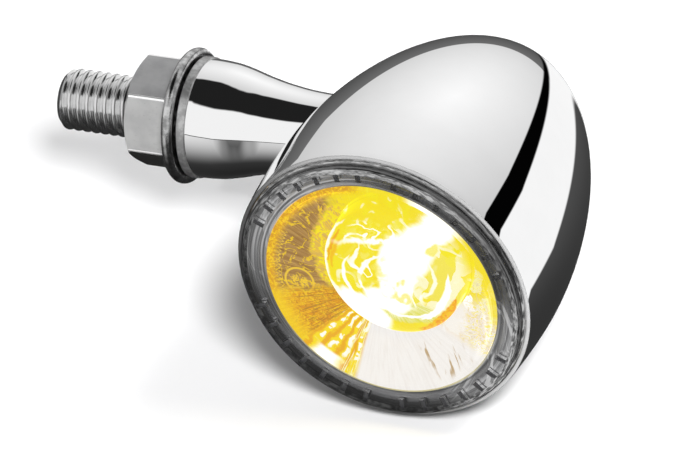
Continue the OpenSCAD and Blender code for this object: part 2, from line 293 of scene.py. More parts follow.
def build_housing():
    lip = arc(RIM_RADIUS - LIP_ROUND, LIP_ROUND, LIP_ROUND, 180, 360, 12)
    flank = [(HEAD_RADIUS - (HEAD_RADIUS - RIM_RADIUS) * ((WIDEST - s) / WIDEST) ** 2, s)
             for s in np.linspace(0.7, WIDEST, 14)[:-1]]
    outside = nose(HEAD_RADIUS, HEAD_LENGTH, 120)
    inside = nose(HEAD_RADIUS - WALL, HEAD_LENGTH - WALL, 60)[::-1]
    shell = lathe("housing_shell", lip + flank + outside + inside + MOUTH_STEP, HEAD_SEGMENTS)
    boss = entry_bar("boss", radius=5.3, outer=ENTRY_OUTER, inner=ENTRY_INNER)
    pad = entry_bar("pad", radius=7.0, outer=ENTRY_OUTER, inner=ENTRY_INNER)
    trim_to_wall(pad)
    boolean(shell, boss, "UNION")
    boolean(shell, pad, "UNION")
    for angle in (math.radians(90), math.radians(270)):
        lug = lug_bar("lug", radius=2.5, start=18.55, end=34.5, angle=angle)
        trim_to_wall(lug)
        boolean(shell, lug, "UNION")
        hole = lug_bar("hole", radius=1.27, start=18.0, end=25.0, angle=angle)
        boolean(shell, hole, "DIFFERENCE")
    boolean(shell, entry_bar("bore", radius=3.85, outer=24.6, inner=8.2), "DIFFERENCE")
    boolean(shell, entry_bar("spot", radius=6.9, outer=ENTRY_INNER, inner=5.0), "DIFFERENCE")
    return tidy(shell)


# ---- stalk -----------------------------------------------------------------------
CHANNEL_RADIUS = 2.2         # channel through the stalk and the stud
COLLAR_RADIUS = 7.9
SOCKET_RADIUS = 3.82         # socket that takes the stud
NECK_END = 18.98
# (radius, station) from the collar to the neck
STALK_CURVE = [
    (7.70, 1.25), (7.70, 1.7), (7.68, 2.4), (7.62, 3.4), (7.5, 4.6), (7.32, 5.6),
    (7.06, 6.7), (6.78, 7.75), (6.5, 8.8), (6.27, 9.8), (6.05, 10.8), (5.86, 11.85),
    (5.7, 12.9), (5.56, 13.9), (5.45, 14.9), (5.36, 16.1), (5.3, 17.3),
]
# (radius, station) of the neck's end, the grooved spigot, and back through the channel
SPIGOT_PROFILE = [
    (5.3, 18.2), (5.3, NECK_END), (3.79, NECK_END), (3.79, 21.0), (2.95, 21.0), (2.95, 22.2),
    (3.79, 22.2), (3.79, 29.2), (3.4, 29.6), (CHANNEL_RADIUS, 29.6), (CHANNEL_RADIUS, 8.2),
    (SOCKET_RADIUS, 8.2),
]


def build_stalk():
    corner = COLLAR_RADIUS - 0.18
    profile = [(SOCKET_RADIUS, 0)] + arc(corner, 0.18, 0.18, 270, 360, 6)
    profile += arc(corner, 1.05, 0.15, 0, 90, 6) + [(7.66, 1.21)]
    profile += curve_through(STALK_CURVE, 5) + SPIGOT_PROFILE
    return lathe("stalk_shell", profile, 256, on_stalk)


# ---- threaded stud -----------------------------------------------------------------
PITCH, THREAD_TURNS = 1.25, 23
STUD_RADIUS, STUD_TIP = 4.0, -18.65
FADE_START, FADE_LENGTH, FADE_RADIUS = -7.0, 1.0, 4.1    # where the groove runs out
# one turn of thread: (distance along, radius)
THREAD_PROFILE = [
    (0.0, 3.98), (0.09, 4.0), (0.18, 3.98), (0.28, 3.90), (0.48, 3.58), (0.59, 3.42),
    (0.66, 3.38), (0.73, 3.42), (0.84, 3.58), (1.04, 3.84), (1.15, 3.93),
]
# (radius, station) of the turned blank
STUD_BLANK = [
    (CHANNEL_RADIUS, 8.1), (CHANNEL_RADIUS, STUD_TIP + 0.3), (2.5, STUD_TIP), (3.2, STUD_TIP),
    (3.3, STUD_TIP + 0.03), (STUD_RADIUS, STUD_TIP + 0.72), (STUD_RADIUS, -8.6), (3.8, -8.4),
    (3.8, 8.1),
]


def build_screw(segments):
    """Closed solid whose side is one long helical thread."""
    start, per_turn = STUD_TIP - 2.5, len(THREAD_PROFILE)
    columns = per_turn * THREAD_TURNS + 1
    verts, faces = [], []
    for i in range(segments + 1):
        angle = TURN * i / segments
        for j in range(columns):
            along, radius = THREAD_PROFILE[j % per_turn]
            x = start + PITCH * (j // per_turn) + along + PITCH * i / segments
            fade = min(1.0, max(0.0, (x - FADE_START) / FADE_LENGTH))
            radius += (FADE_RADIUS - radius) * fade
            verts.append(on_stalk(radius * math.cos(angle), x, radius * math.sin(angle)))
    for i in range(segments):
        for j in range(columns - 1):
            k = i * columns + j
            faces.append((k, k + 1, k + columns + 1, k + columns))
    # end fans, each closing the helical edge and the one open pitch
    first = [i * columns for i in range(segments + 1)] + list(range(per_turn - 1, 0, -1))
    last = [i * columns + columns - 1 for i in range(segments + 1)]
    last += [segments * columns + j for j in range(columns - 2, columns - 1 - per_turn, -1)]
    for loop, turns in ((first, 0), (last, THREAD_TURNS)):
        hub = len(verts)
        verts.append(on_stalk(0.0, start + PITCH * turns + 0.6, 0.0))
        faces += [(loop[k], loop[(k + 1) % len(loop)], hub) for k in range(len(loop))]
    return mesh_object("screw", verts, faces)


def build_stud():
    screw = build_screw(120)
    blank = lathe("stud_thread", STUD_BLANK, 120, on_stalk)
    boolean(blank, screw, "INTERSECT")
    return tidy(blank, 38)


# ---- nut and lock washer ---------------------------------------------------------
NUT_FLATS, NUT_TURN = 13.0, 10.5             # across the flats; turned, in degrees
NUT_OUTER, NUT_INNER = -7.92, -1.92          # stations of the nut's faces
NUT_REACH, NUT_CHAMFER = 7.6, 6.38           # radius past the corners; where the chamfer starts
NUT_HOLE, NUT_HOLE_MOUTH = 4.06, 4.5
WASHER_RADIUS, WASHER_HOLE, WASHER_ROUND = 8.83, 4.25, 0.78
WASHER_OUTER = -1.9                          # station of the face towards the nut
WASHER_TEETH = 28


def build_nut():
    nut = prism("nut_body", NUT_FLATS / math.sqrt(3), (NUT_OUTER - 0.2, NUT_INNER + 0.2),
                sides=6, turn=NUT_TURN)
    # only the six edges along the axis are longer than 4 mm along it
    bevel(nut, width=0.2, segments=4,
          wanted=lambda edge: abs(edge.verts[0].co.x - edge.verts[1].co.x) > 0.004)
    chamfer_rise = (NUT_REACH - NUT_CHAMFER) * math.tan(math.radians(31))
    turned = [
        (0, NUT_OUTER), (6.2, NUT_OUTER), (6.3, NUT_OUTER + 0.02), (NUT_CHAMFER, NUT_OUTER + 0.06),
        (NUT_REACH, NUT_OUTER + 0.06 + chamfer_rise), (NUT_REACH, NUT_INNER - 0.36),
        (6.7, NUT_INNER - 0.02), (6.6, NUT_INNER), (0, NUT_INNER),
    ]
    boolean(nut, lathe("cone", turned, 192, on_stalk), "INTERSECT")
    bore = [
        (0, NUT_OUTER - 1), (NUT_HOLE_MOUTH, NUT_OUTER - 1), (NUT_HOLE_MOUTH, NUT_OUTER),
        (NUT_HOLE, NUT_OUTER + 0.49), (NUT_HOLE, NUT_INNER - 0.49),
        (NUT_HOLE_MOUTH, NUT_INNER), (NUT_HOLE_MOUTH, NUT_INNER + 1), (0, NUT_INNER + 1),
    ]
    boolean(nut, lathe("bore", bore, 96, on_stalk), "DIFFERENCE")
    return tidy(nut, 24)


def build_washer():
    profile = [(WASHER_HOLE, WASHER_OUTER), (7.6, WASHER_OUTER)]
    profile += arc(WASHER_RADIUS - WASHER_ROUND, WASHER_OUTER + WASHER_ROUND, WASHER_ROUND,
                   -90, 90, 18)
    profile += [(7.6, -0.34), (6.6, -0.34), (6.5, -0.44), (WASHER_HOLE, -0.44)]
    washer = lathe("washer_ring", profile, 224, on_stalk)
    ends = []
    for station, taper in ((-0.5, 0.0), (-0.02, 0.05)):
        inner, outer = 0.28 - taper, 0.33 - taper    # half widths of a tooth
        ends.append((station, ((5.4, -inner), (6.3, -outer), (6.3, outer), (5.4, inner))))
    angles = [TURN * k / WASHER_TEETH for k in range(WASHER_TEETH)]
    boolean(washer, blocks("teeth", angles, ends, on_stalk), "UNION")
    return tidy(washer, 30)


# ---- lens, bezel and toothed ring --------------------------------------------------
LENS_TURN = 5.5              # degrees
LENS_FACE, LENS_BULGE = -1.7, 0.25
LENS_FLAT, LENS_ROUND = 18.1, 0.9            # radius of the face, rounding of its edge
# two groups of fourteen teeth, centred above and below, ten degrees apart
TOOTH_ANGLES = [math.radians(-LENS_TURN + middle + side * (8 + 10 * k))
                for middle in (90, 270) for side in (-1, 1) for k in range(7)]
# (radius, station)
LENS_BACK = [(19.0, -0.2), (19.3, 0), (19.3, 0.95), (18.92, 0.95), (18.92, 0.1), (0, 0.1)]
BEZEL_FACE = [
    (16.2, 0.53), (16.4, 0.56), (16.62, 0.50), (16.78, 0.38), (17.0, 0.29), (17.5, 0.26),
    (18.0, 0.27), (18.3, 0.34), (18.42, 0.46), (18.5, 0.62), (18.6, 0.64), (18.7, 0.74),
    (18.86, 0.95), (18.86, 1.88),
]


def tooth_blocks(name, radii, half_width, stations):
    """A block at each tooth's angle."""
    inner, outer = radii
    corners = ((inner, -half_width), (outer, -half_width), (outer, half_width),
               (inner, half_width))
    return blocks(name, TOOTH_ANGLES, [(station, corners) for station in stations], in_head)


def build_lens():
    """Cover with blind pockets for the teeth; the pockets' faces take the second material, a
    near-black that paints the shade in the pockets.
    """
    profile = [(LENS_FLAT * i / 16, LENS_FACE - LENS_BULGE * (1 - (i / 16) ** 2))
               for i in range(17)]
    profile += arc(LENS_FLAT, LENS_FACE + LENS_ROUND, LENS_ROUND, -90, 0, 14)[1:]
    lens = lathe("lens_cover", profile + LENS_BACK, HEAD_SEGMENTS)
    pockets = tooth_blocks("pockets", (16.9, 18.52), half_width=0.36, stations=(-0.78, 0.42))
    boolean(lens, pockets, "DIFFERENCE")
    tidy(lens, 25)
    for face in lens.data.polygons:
        radius = math.hypot(face.center.x / MM - HEAD_X, face.center.z / MM)
        station = face.center.y / MM + AXIS_DEPTH
        in_pocket = -0.80 < station < 0.08 and 16.85 < radius < 18.56
        face.material_index = 1 if in_pocket else 0
    return lens


def build_bezel():
    profile = [(15.75, 1.88), (15.75, 0.45)] + arc(15.95, 0.40, 0.2, 180, 330, 10) + BEZEL_FACE
    bezel = lathe("bezel_trim", profile, HEAD_SEGMENTS)
    slots = tooth_blocks("slots", (16.92, 18.5), half_width=0.35, stations=(-1.0, 3.0))
    boolean(bezel, slots, "DIFFERENCE")
    return tidy(bezel, 30)


def build_toothed_ring():
    ring = lathe("tooth_ring", [(15.8, 1.9), (18.8, 1.9), (18.8, 2.58), (15.8, 2.58)], 144)
    bars = tooth_blocks("bars", (17.0, 18.42), half_width=0.3, stations=(-0.7, 2.0))
    bevel(bars, width=0.07, segments=2)
    boolean(ring, bars, "UNION")
    return tidy(ring, 35)


# ---- reflector and collimator --------------------------------------------------------
FLUTES, FLUTE_DEPTH = 36, 0.16
DOME_RADIUS, DOME_RISE, DOME_BASE = 9.3, 3.0, 4.4
# (radius, station) from the dome's side to the axis behind it
COLLIMATOR_BACK = [
    (DOME_RADIUS, 7.2), (9.45, 7.2), (9.45, 7.98), (6.1, 7.98), (5.9, 8.2), (3.7, 12.2),
    (2.0, 12.2), (1.6, 9.9), (0, 9.9),
]


def bowl_curve(radius, widening, station, rise, fractions):
    return [(radius + widening * f ** 0.62, station - rise * f) for f in fractions]


def build_reflector():
    """Fluted bowl; faces that look inwards take the first material, the rest the second."""
    front = bowl_curve(radius=9.5, widening=5.7, station=8.0, rise=7.85,
                       fractions=[(i / 46) ** 1.5 for i in range(47)])
    back = [(15.7, 0.15), (15.7, 2.6), (19.2, 2.6), (19.2, 3.38), (15.2, 3.38)]
    back += bowl_curve(radius=10.4, widening=5.3, station=9.0, rise=6.8,
                       fractions=[i / 12 for i in range(10, -1, -1)])
    back += [(6.2, 9.0), (6.2, 8.0)]

    def flute(ring, angle):
        fade = max(0.0, min(1.0, (ring - 2) / 8, (len(front) - 2 - ring) / 6))
        return FLUTE_DEPTH * fade * abs(math.cos(FLUTES / 2 * angle))

    bowl = lathe("reflector_bowl", front + back, FLUTES * 10, sharp_angle=30, ripple=flute)
    for face in bowl.data.polygons:
        outwards = Vector((face.center.x - HEAD_X * MM, 0, face.center.z)).normalized()
        face.material_index = 0 if face.normal.dot(outwards) < -0.05 else 1
    return bowl


def build_collimator():
    angles = [math.radians(90 * i / 40) for i in range(41)]
    dome = [(DOME_RADIUS * math.sin(a), DOME_BASE - DOME_RISE * math.cos(a)) for a in angles]
    return lathe("collimator_dome", dome + COLLIMATOR_BACK, 160)


# ---- shader helpers --------------------------------------------------------------------
DEGREES = 180 / math.pi


def operator(kind, swapped=False):
    """Makes a method that adds one Math node."""
    def apply(self, other):
        first, second = (other, self) if swapped else (self, other)
        return self.net.math(kind, first, second)
    return apply


def function(kind):
    """Makes a method without operands that adds one Math node."""
    return lambda self: self.net.math(kind, self)


class Signal:
    """One output of a shader node. Arithmetic on it adds Math nodes."""

    def __init__(self, net, node, output=0):
        self.net, self.node, self.socket = net, node, node.outputs[output]

    __add__, __radd__ = operator("ADD"), operator("ADD", swapped=True)
    __sub__, __rsub__ = operator("SUBTRACT"), operator("SUBTRACT", swapped=True)
    __mul__, __rmul__ = operator("MULTIPLY"), operator("MULTIPLY", swapped=True)
    __truediv__, __pow__ = operator("DIVIDE"), operator("POWER")
    max, arctan2 = operator("MAXIMUM"), operator("ARCTAN2")
    sin, cos = function("SINE"), function("COSINE")
    arcsin, arccos = function("ARCSINE"), function("ARCCOSINE")
    sqrt, exp, __abs__ = function("SQRT"), function("EXPONENT"), function("ABSOLUTE")

    def output(self, key):
        """Another output of the same node."""
        return Signal(self.net, self.node, key)

    def step(self, start, end, low=0.0, high=1.0, shape="SMOOTHSTEP"):
        """Goes smoothly from low to high as the signal goes from start to end."""
        return self.net.add("MapRange", {
            "Value": self, "From Min": start, "From Max": end, "To Min": low, "To Max": high,
        }, "Result", interpolation_type=shape)

    def ramp(self, start, end):
        """Goes evenly from 0 to 1."""
        return self.step(start, end, shape="LINEAR")

    def band(self, low, high, soft):
        """1 between low and high, with soft edges."""
        return (self.step(low - soft, low + soft)
                * self.step(high - soft, high + soft, 1.0, 0.0))


def rgba(colour):
    """Fills out a grey or a 3-part colour; a signal passes unchanged."""
    if isinstance(colour, (int, float)):
        colour = (colour,) * 3
    return (*colour, 1.0) if isinstance(colour, tuple) else colour


class Net:
    """Shader nodes of a material or a world."""

    def __init__(self, data):
        data.use_nodes = True
        self.data, self.tree = data, data.node_tree
        self.tree.nodes.clear()

    def add(self, kind, inputs=None, output=0, **settings):
        """Adds a node, fills or links its inputs, and returns one output."""
        node = self.tree.nodes.new("ShaderNode" + kind)
        for key, value in settings.items():
            setattr(node, key, value)
        for key, value in (inputs or {}).items():
            if isinstance(value, Signal):
                self.tree.links.new(value.socket, node.inputs[key])
            else:
                node.inputs[key].default_value = value
        return Signal(self, node, output)

    def finish(self, kind, shader):
        """Links a shader to a new output node."""
        node = self.tree.nodes.new("ShaderNodeOutput" + kind)
        self.tree.links.new(shader.socket, node.inputs[0])

    def math(self, kind, first, second=0.0, clamp=False):
        return self.add("Math", {0: first, 1: second, 2: 0.0}, operation=kind, use_clamp=clamp)

    def mix(self, factor, first, second, blend="MIX"):
        return self.add("Mix", {0: factor, 6: rgba(first), 7: rgba(second)}, 2,
                        data_type="RGBA", blend_type=blend)

    def layers(self, colour, *covers):
        """Lays (mask, colour) covers over a colour, one after the other."""
        for mask, cover in covers:
            colour = self.mix(mask, colour, cover)
        return colour

    def mix_shader(self, factor, first, second):
        return self.add("MixShader", {0: factor, 1: first, 2: second})

    def vector(self, x, y, z):
        return self.add("CombineXYZ", {0: x, 1: y, 2: z})

    def split(self, vector):
        parts = self.add("SeparateXYZ", {0: vector})
        return [parts.output(i) for i in range(3)]

    def scaled(self, vector, x, y, z):
        return self.add("VectorMath", {0: vector, 1: (x, y, z)}, operation="MULTIPLY")

    def noise(self, vector, scale, detail=3.0, rough=0.5, warp=0.0):
        return self.add("TexNoise", {"Vector": vector, "Scale": scale, "Detail": detail,
                                     "Roughness": rough, "Distortion": warp})


class Material(Net):
    def __init__(self, name):
        super().__init__(bpy.data.materials.new(name))

    def point(self):
        """Object-space position in millimetres."""
        position = self.add("TexCoord", output="Object")
        return self.add("VectorMath", {0: position, 3: 1000.0}, operation="SCALE")

    def head_polar(self):
        """Radius, angle in turns from +X towards +Z, and station in the head; and the point."""
        point = self.point()
        x, y, z = self.split(point)
        right = x - HEAD_X
        radius = (right * right + z * z).sqrt()
        return radius, z.arctan2(right) / TURN, y + AXIS_DEPTH, point

    def bump(self, height, strength, distance):
        return self.add("Bump", {"Strength": strength, "Distance": distance * MM,
                                 "Height": height})

    def principled(self, colour, metallic, roughness, **more):
        inputs = {"Base Color": rgba(colour), "Metallic": metallic, "Roughness": roughness}
        inputs.update((key.replace("_", " "), value) for key, value in more.items())
        return self.add("BsdfPrincipled", inputs)

    def surface(self, shader):
        self.finish("Material", shader)
        return self


def facing(angle, bearing):
    """Cosine of the angle, in turns, away from a bearing in degrees."""
    return ((angle - bearing / 360) * TURN).cos()


def near(angle, bearing, half_width):
    """1 at a bearing, falling to 0 at half_width degrees from it."""
    return facing(angle, bearing).step(math.cos(math.radians(half_width)), 1.0)


def give(obj, *materials):
    obj.data.materials.clear()
    for material in materials:
        obj.data.materials.append(material.data)


# ---- metals and plastics -----------------------------------------------------------
def polished(mat, fine, colour, rough=0.012, wear=0.012):
    """Polished plating with very fine polishing marks."""
    return mat.principled(colour, 1.0, rough + fine.step(0.5, 0.8) * wear)


def chrome(name, bright, dull, rough, wear):
    mat = Material(name)
    point = mat.point()
    colour = mat.mix(mat.noise(point, scale=0.25).step(0.3, 0.7), bright, dull)
    fine = mat.noise(point, scale=9.0, detail=4, rough=0.6)
    return mat.surface(polished(mat, fine, colour, rough, wear))


def housing_finish():
    """Polished plating on the shell, with a satin lip and inside round the mouth whose colour
    holds painted light and shade.
    """
    mat = Material("housing_chrome")
    radius, angle, station, point = mat.head_polar()
    cloud = mat.noise(point, scale=0.25)
    fine = mat.noise(point, scale=9.0, detail=4, rough=0.6)
    colour = mat.mix(cloud.step(0.3, 0.7), (0.95, 0.95, 0.952), (0.936, 0.936, 0.938))
    shell = polished(mat, fine, colour)
    # the satin's colour is painted light: darker towards the left, lighter towards the lower
    # right; painted shade inside the mouth
    inside = radius.step(19.47, 19.43) * station.step(4.4, 4.3)
    tone = mat.layers(
        0.27,
        (facing(angle, 182).step(0.30, 0.90), 0.055),
        (facing(angle, 315).step(0.35, 0.9) * 0.5, 0.45),
        (mat.noise(point, scale=0.25, detail=2).step(0.4, 0.7) * 0.15, 0.16),
        (inside, 0.03))
    satin = mat.principled(tone, 0.0, 0.42 + fine * 0.1, Specular_IOR_Level=0.08)
    lip = station.step(0.34, 0.26) * radius.step(19.38, 19.44)
    return mat.surface(mat.mix_shader(lip.max(inside), shell, satin))


def stalk_finish():
    """Polished plating, with a satin band on the collar beside its end face."""
    mat = Material("stalk_plating")
    point = mat.point()
    shell = polished(mat, mat.noise(point, scale=9.0, detail=4, rough=0.6), (0.95, 0.95, 0.952))
    grain = mat.noise(mat.scaled(point, 1, 0.4, 0.4), scale=7.0, detail=4, rough=0.6)
    mottle = mat.noise(point, scale=1.1, detail=4, rough=0.65).step(0.40, 0.62)
    satin = mat.principled(mat.mix(mottle, 0.31, 0.48), 0.85, 0.26 + grain * 0.15,
                           Normal=mat.bump(grain, strength=0.45, distance=0.04))
    x = mat.split(point)[0]
    return mat.surface(mat.mix_shader(x.step(1.19, 1.22), satin, shell))


def steel(name, tint=(0.62, 0.62, 0.625), rough=0.3, grain=(1.0, 1.0, 1.0), speck=0.1,
          depth=0.03):
    """Grained bare metal; speck is how much darker its blotches are."""
    mat = Material(name)
    point = mat.point()
    grains = mat.noise(mat.scaled(point, *grain), scale=6.0, detail=5, rough=0.65)
    blotches = mat.noise(point, scale=0.8).step(0.35, 0.7)
    colour = mat.mix(blotches, tint, tuple((1 - speck) * part for part in tint))
    return mat.surface(mat.principled(colour, 1.0, rough - 0.07 + grains * 0.16,
                                      Normal=mat.bump(grains, strength=0.35, distance=depth)))


def zinc_nut():
    """Satin zinc plate on a machined nut: pale, softly metallic, finely grained."""
    mat = Material("nut_zinc")
    point = mat.point()
    _, y, z = mat.split(point)
    grain = mat.noise(mat.scaled(point, 0.35, 1, 1), scale=5.0, detail=5, rough=0.6)
    colour = mat.layers(
        0.66 if False else (0.66, 0.66, 0.655),
        (mat.noise(point, scale=0.55).step(0.35, 0.7), 0.58))
    colour = mat.mix(grain.step(0.62, 0.72), colour, 0.48)
    # shading by how far a face looks up or down
    up = mat.split(mat.add("NewGeometry", output="Normal"))[2]
    shade = mat.mix(up.step(0.45, 0.8), 0.78, (0.62, 0.62, 0.63))
    colour = mat.mix(1.0, colour, shade, "MULTIPLY")
    dark = mat.mix(1.0, colour, 0.22, "MULTIPLY")
    colour = mat.mix(up.step(-0.35, -0.58), colour, dark)
    # painted highlight along the corners, partly rubbed wear: lighter and smoother there
    edge_highlight_and_wear = (y * y + z * z).sqrt().step(7.36, 7.40)
    colour = mat.mix(edge_highlight_and_wear, colour, 0.97)
    rough = (1.0 - edge_highlight_and_wear * 0.6) * 0.24 + grain * 0.14
    return mat.surface(mat.principled(colour, 0.86, rough,
                                      Normal=mat.bump(grain, strength=0.3, distance=0.03)))


def plastic(name, colour, rough=0.4, speck=0.06, **more):
    """Moulded plastic; speck is how far its colour varies either way."""
    mat = Material(name)
    point = mat.point()
    darker, lighter = (tuple(part * (1 + change) for part in colour)
                       for change in (-speck, speck))
    tint = mat.mix(mat.noise(point, scale=4.0, detail=4, rough=0.6), darker, lighter)
    bump = mat.bump(mat.noise(point, scale=14.0), strength=0.2, distance=0.02)
    return mat.surface(mat.principled(
        tint, 0.0, rough - 0.06 + mat.noise(point, scale=11.0) * 0.12, Normal=bump, **more))


def emitter(name, colour, power):
    mat = Material(name)
    glow = mat.mix(mat.noise(mat.point(), scale=2.0), colour,
                   tuple(0.85 * part for part in colour))
    return mat.surface(mat.principled((0.3, 0.2, 0.05), 0.0, 0.3, Emission_Color=glow,
                                      Emission_Strength=power))


def clear_lens():
    """Clear moulding that lets light and shadow through, with a painted streaky reflection glowing
    on its outer edge.
    """
    mat = Material("clear_lens")
    point = mat.point()
    glass = mat.principled(1.0, 0.0, mat.noise(point, scale=3.0).step(0.45, 0.8) * 0.012,
                           IOR=1.49, Transmission_Weight=1.0, Specular_IOR_Level=0.08)
    see_through = mat.add("BsdfTransparent", {0: rgba(0.93)})
    ray = mat.add("LightPath", output="Is Shadow Ray")
    window = mat.mix_shader(ray.max(ray.output("Is Diffuse Ray")), glass, see_through)

    radius, angle, _, _ = mat.head_polar()
    # painted reflection on the outer edge, given as emission: brighter at the top and lower right,
    # streaked, with a darker painted line near the rim
    tone = 0.20 + near(angle, 95, 85) * 0.30 + near(angle, 335, 55) * 0.38
    streak = mat.noise(mat.scaled(point, 0.5, 4.0, 0.5), scale=1.6, rough=0.6, warp=0.4)
    tone = tone * (0.55 + streak.step(0.36, 0.66) * 0.9)
    line = radius.step(18.86, 18.94) * radius.step(19.16, 19.08)
    light = (tone * (1.0 - line * 0.6)) ** 2.2
    edge = mat.principled(0.14, 1.0, 0.12, Emission_Color=mat.mix(1.0, light, light),
                          Emission_Strength=0.9)
    return mat.surface(mat.mix_shader(radius.step(18.30, 18.38), window, edge))


def bezel_finish():
    """Plated trim with its light and shade painted into its emission: turned grooves, and painted
    glints in long soft streaks that run round it.
    """
    mat = Material("bezel_plating")
    radius, angle, _, _ = mat.head_polar()
    cosine, sine = (angle * TURN).cos(), (angle * TURN).sin()
    groove = mat.noise(mat.vector(radius * 3.2, cosine * 1.1, sine * 1.1),
                       scale=1.0, rough=0.6, warp=0.4)
    slant = mat.noise(mat.vector(radius * 1.5 + angle * 60.0, cosine * 1.4, sine * 1.4),
                      scale=1.0, rough=0.55, warp=0.5)
    # light from the upper left, the lower right, the top, and the bowl below
    left = near(angle, 138, 62) * (0.42 - radius.step(16.9, 17.9) * 0.10)
    right = near(angle, 328, 42) * 0.34
    top = near(angle, 90, 26) * 0.07
    bowl = near(angle, 245, 80) * 0.26 * radius.step(17.3, 16.0)
    tone = (0.165 + left) + (right + top) + bowl
    tone = tone * (0.74 + groove.step(0.38, 0.66) * 0.62)
    # painted glints along slanted streaks, and a painted highlight round the outer rim
    glint = near(angle, 332, 44).max(near(angle, 150, 50) * 0.45) * slant.step(0.53, 0.60)
    rim = radius.step(18.30, 18.42) * near(angle, 35, 120).max(0.0)
    tone = mat.layers(tone, (glint * 0.75, 0.88),
                      (rim * 0.7, 0.42 + near(angle, 350, 35) * 0.5))
    # painted shade in a thin ring near the inner edge
    dark_line = radius.step(16.12, 16.2) * radius.step(16.5, 16.38)
    light = (tone * (1.0 - dark_line * 0.4)) ** 2.2
    # painted yellow light from the bowl on the inner lip
    lip = radius.step(16.02, 15.86) * near(angle, 270, 80).max(near(angle, 50, 50) * 0.55)
    glow = mat.mix(lip * 0.8, mat.mix(1.0, light, light), (0.72, 0.62, 0.22))
    return mat.surface(mat.principled(
        (0.16, 0.16, 0.165), 1.0, 0.10 + groove * 0.1,
        Normal=mat.bump(groove, strength=0.2, distance=0.03),
        Emission_Color=glow, Emission_Strength=0.85))


# ---- lit amber optics: the LED's light painted on as emission --------------------------
YELLOW = (0.955, 0.775, 0.0)
BROWN = (0.27, 0.125, 0.022)
CREAM = (0.95, 0.925, 0.895)
GOLD = (0.93, 0.62, 0.0)
# colour of the painted lines of light in the amber
LIT_LINE_GOLD = (0.93, 0.62, 0.03)
HOT = (1.25, 1.25, 1.18)
# how far a point shifts right and up the window per millimetre of depth
SHIFT_RIGHT, SHIFT_UP = 0.5146, 0.7855
WINDOW_STATION = 0.3


class Polar:
    """Polar coordinates in the window, about its centre. Angles are in degrees."""

    def __init__(self, right, up):
        self.right, self.up = right - 0.0, up - 0.0

    @cached_property
    def radius(self):
        return (self.right * self.right + self.up * self.up).sqrt()

    @cached_property
    def angle(self):
        """-180 to 180, with 0 to the right."""
        return self.up.arctan2(self.right) * DEGREES

    @cached_property
    def around(self):
        """0 to 360, with 90 at the top."""
        return (self.up * -1.0).arctan2(self.right * -1.0) * DEGREES + 180.0


class LitOptic(Material):
    """Painted light: a glowing pattern standing in for the LED's light in the optics, laid out
    in a plane that is seen along the lamp's display direction, so that it lines up from one
    surface to the next. Places are (right, up) in mm."""

    def __init__(self, name):
        super().__init__(name)
        x, y, z = self.split(self.point())
        depth = y + (AXIS_DEPTH - WINDOW_STATION)
        self.right = x - HEAD_X + depth * SHIFT_RIGHT
        self.up = z + depth * SHIFT_UP
        self.plane = self.vector(self.right, self.up, 0.0)
        self.broad = self.noise(self.plane, scale=0.32, rough=0.55, warp=0.6)
        self.other = self.noise(self.vector(self.up, self.right, 7.0),
                                scale=0.32, rough=0.55, warp=0.6)
        self.fine = self.noise(self.plane, scale=1.7, detail=4, rough=0.65, warp=1.2)
        self.wavy = self.warped(2.6)
        self.polar = Polar(self.right, self.up)
        self.thin = self.streaks(1.15, 0.22, seed=9.0)

    def warped(self, amount):
        """The plane's coordinates, bent by broad noise."""
        return (self.right + (self.broad - 0.5) * amount,
                self.up + (self.other - 0.5) * amount)

    def streaks(self, around, outwards, seed):
        """Long soft streaks that run outwards, at a density around and outwards."""
        where = self.vector(self.polar.around * around, self.polar.radius * outwards, seed)
        return self.noise(where, scale=1.0, detail=4, rough=0.6, warp=0.3)

    def patches(self, scale, warp, seed=None):
        where = self.plane if seed is None else self.vector(self.right, self.up, seed)
        return self.noise(where, scale=scale, rough=0.6, warp=warp)

    def loops(self, where, scale, count, seed):
        """Fine loops, like light folded by the moulding, from -1 to 1."""
        field = self.noise(self.vector(*where, seed), scale=scale, detail=1, warp=0.5)
        return (field * (TURN * count)).sin()

    def cells(self, where, stretch, scale, smoothness):
        """A random value for each facet."""
        spot = self.vector(where[0] * stretch[0], where[1] * stretch[1], 2.0)
        colour = self.add("TexVoronoi", {"Vector": spot, "Scale": scale,
                                         "Smoothness": smoothness}, "Color",
                          feature="SMOOTH_F1")
        return self.add("SeparateColor", {0: colour})

    def blob(self, where, at, size, turn, soft):
        """1 inside an ellipse, falling off smoothly. The turn is in degrees."""
        right, up = where[0] - at[0], where[1] - at[1]
        cosine, sine = math.cos(math.radians(turn)), math.sin(math.radians(turn))
        along = (right * cosine + up * sine) / size[0]
        across = (up * cosine - right * sine) / size[1]
        return (along * along + across * across).sqrt().step(1.0 + soft, 1.0 - soft)

    def stroke(self, where, at, radius, width, start, end, ends=0.35, squash=1.0):
        """Curved stroke round a place between two angles; ends is the share of the half
        width that is left there."""
        right, up = where[0] - at[0], (where[1] - at[1]) * squash
        reach = (right * right + up * up).sqrt()
        middle = math.radians((start + end) / 2)
        cosine, sine = math.cos(middle), math.sin(middle)
        along = right * cosine + up * sine
        across = up * cosine - right * sine
        share = abs(across.arctan2(along) * DEGREES) / ((end - start) / 2)
        half = width * self.math("SUBTRACT", 1.0, share * share * (1 - ends), clamp=True)
        return (half - abs(reach - radius)).step(-0.10, 0.16) * share.step(1.06, 0.94)

    def glow(self, colour, rough, specular):
        """Adds the flare at the upper right, with its yellow islands, and lights the surface."""
        flare = self.blob(self.wavy, (7.6, 9.4), (5.6, 2.5), turn=47, soft=0.22)
        islands = [
            (self.blob(self.wavy, at, (size * 1.2, size * 0.7), turn=20, soft=0.3) * 0.85,
             (0.95, 0.85, 0.05))
            for at, size in (((3.6, 10.4), 0.9), ((8.0, 7.2), 1.0), ((10.2, 5.8), 0.9))]
        colour = self.layers(colour, (flare, HOT), *islands)
        return self.surface(self.principled(
            (0.02, 0.015, 0.005), 0.0, rough, Emission_Color=colour, Emission_Strength=1.0,
            Specular_IOR_Level=specular))


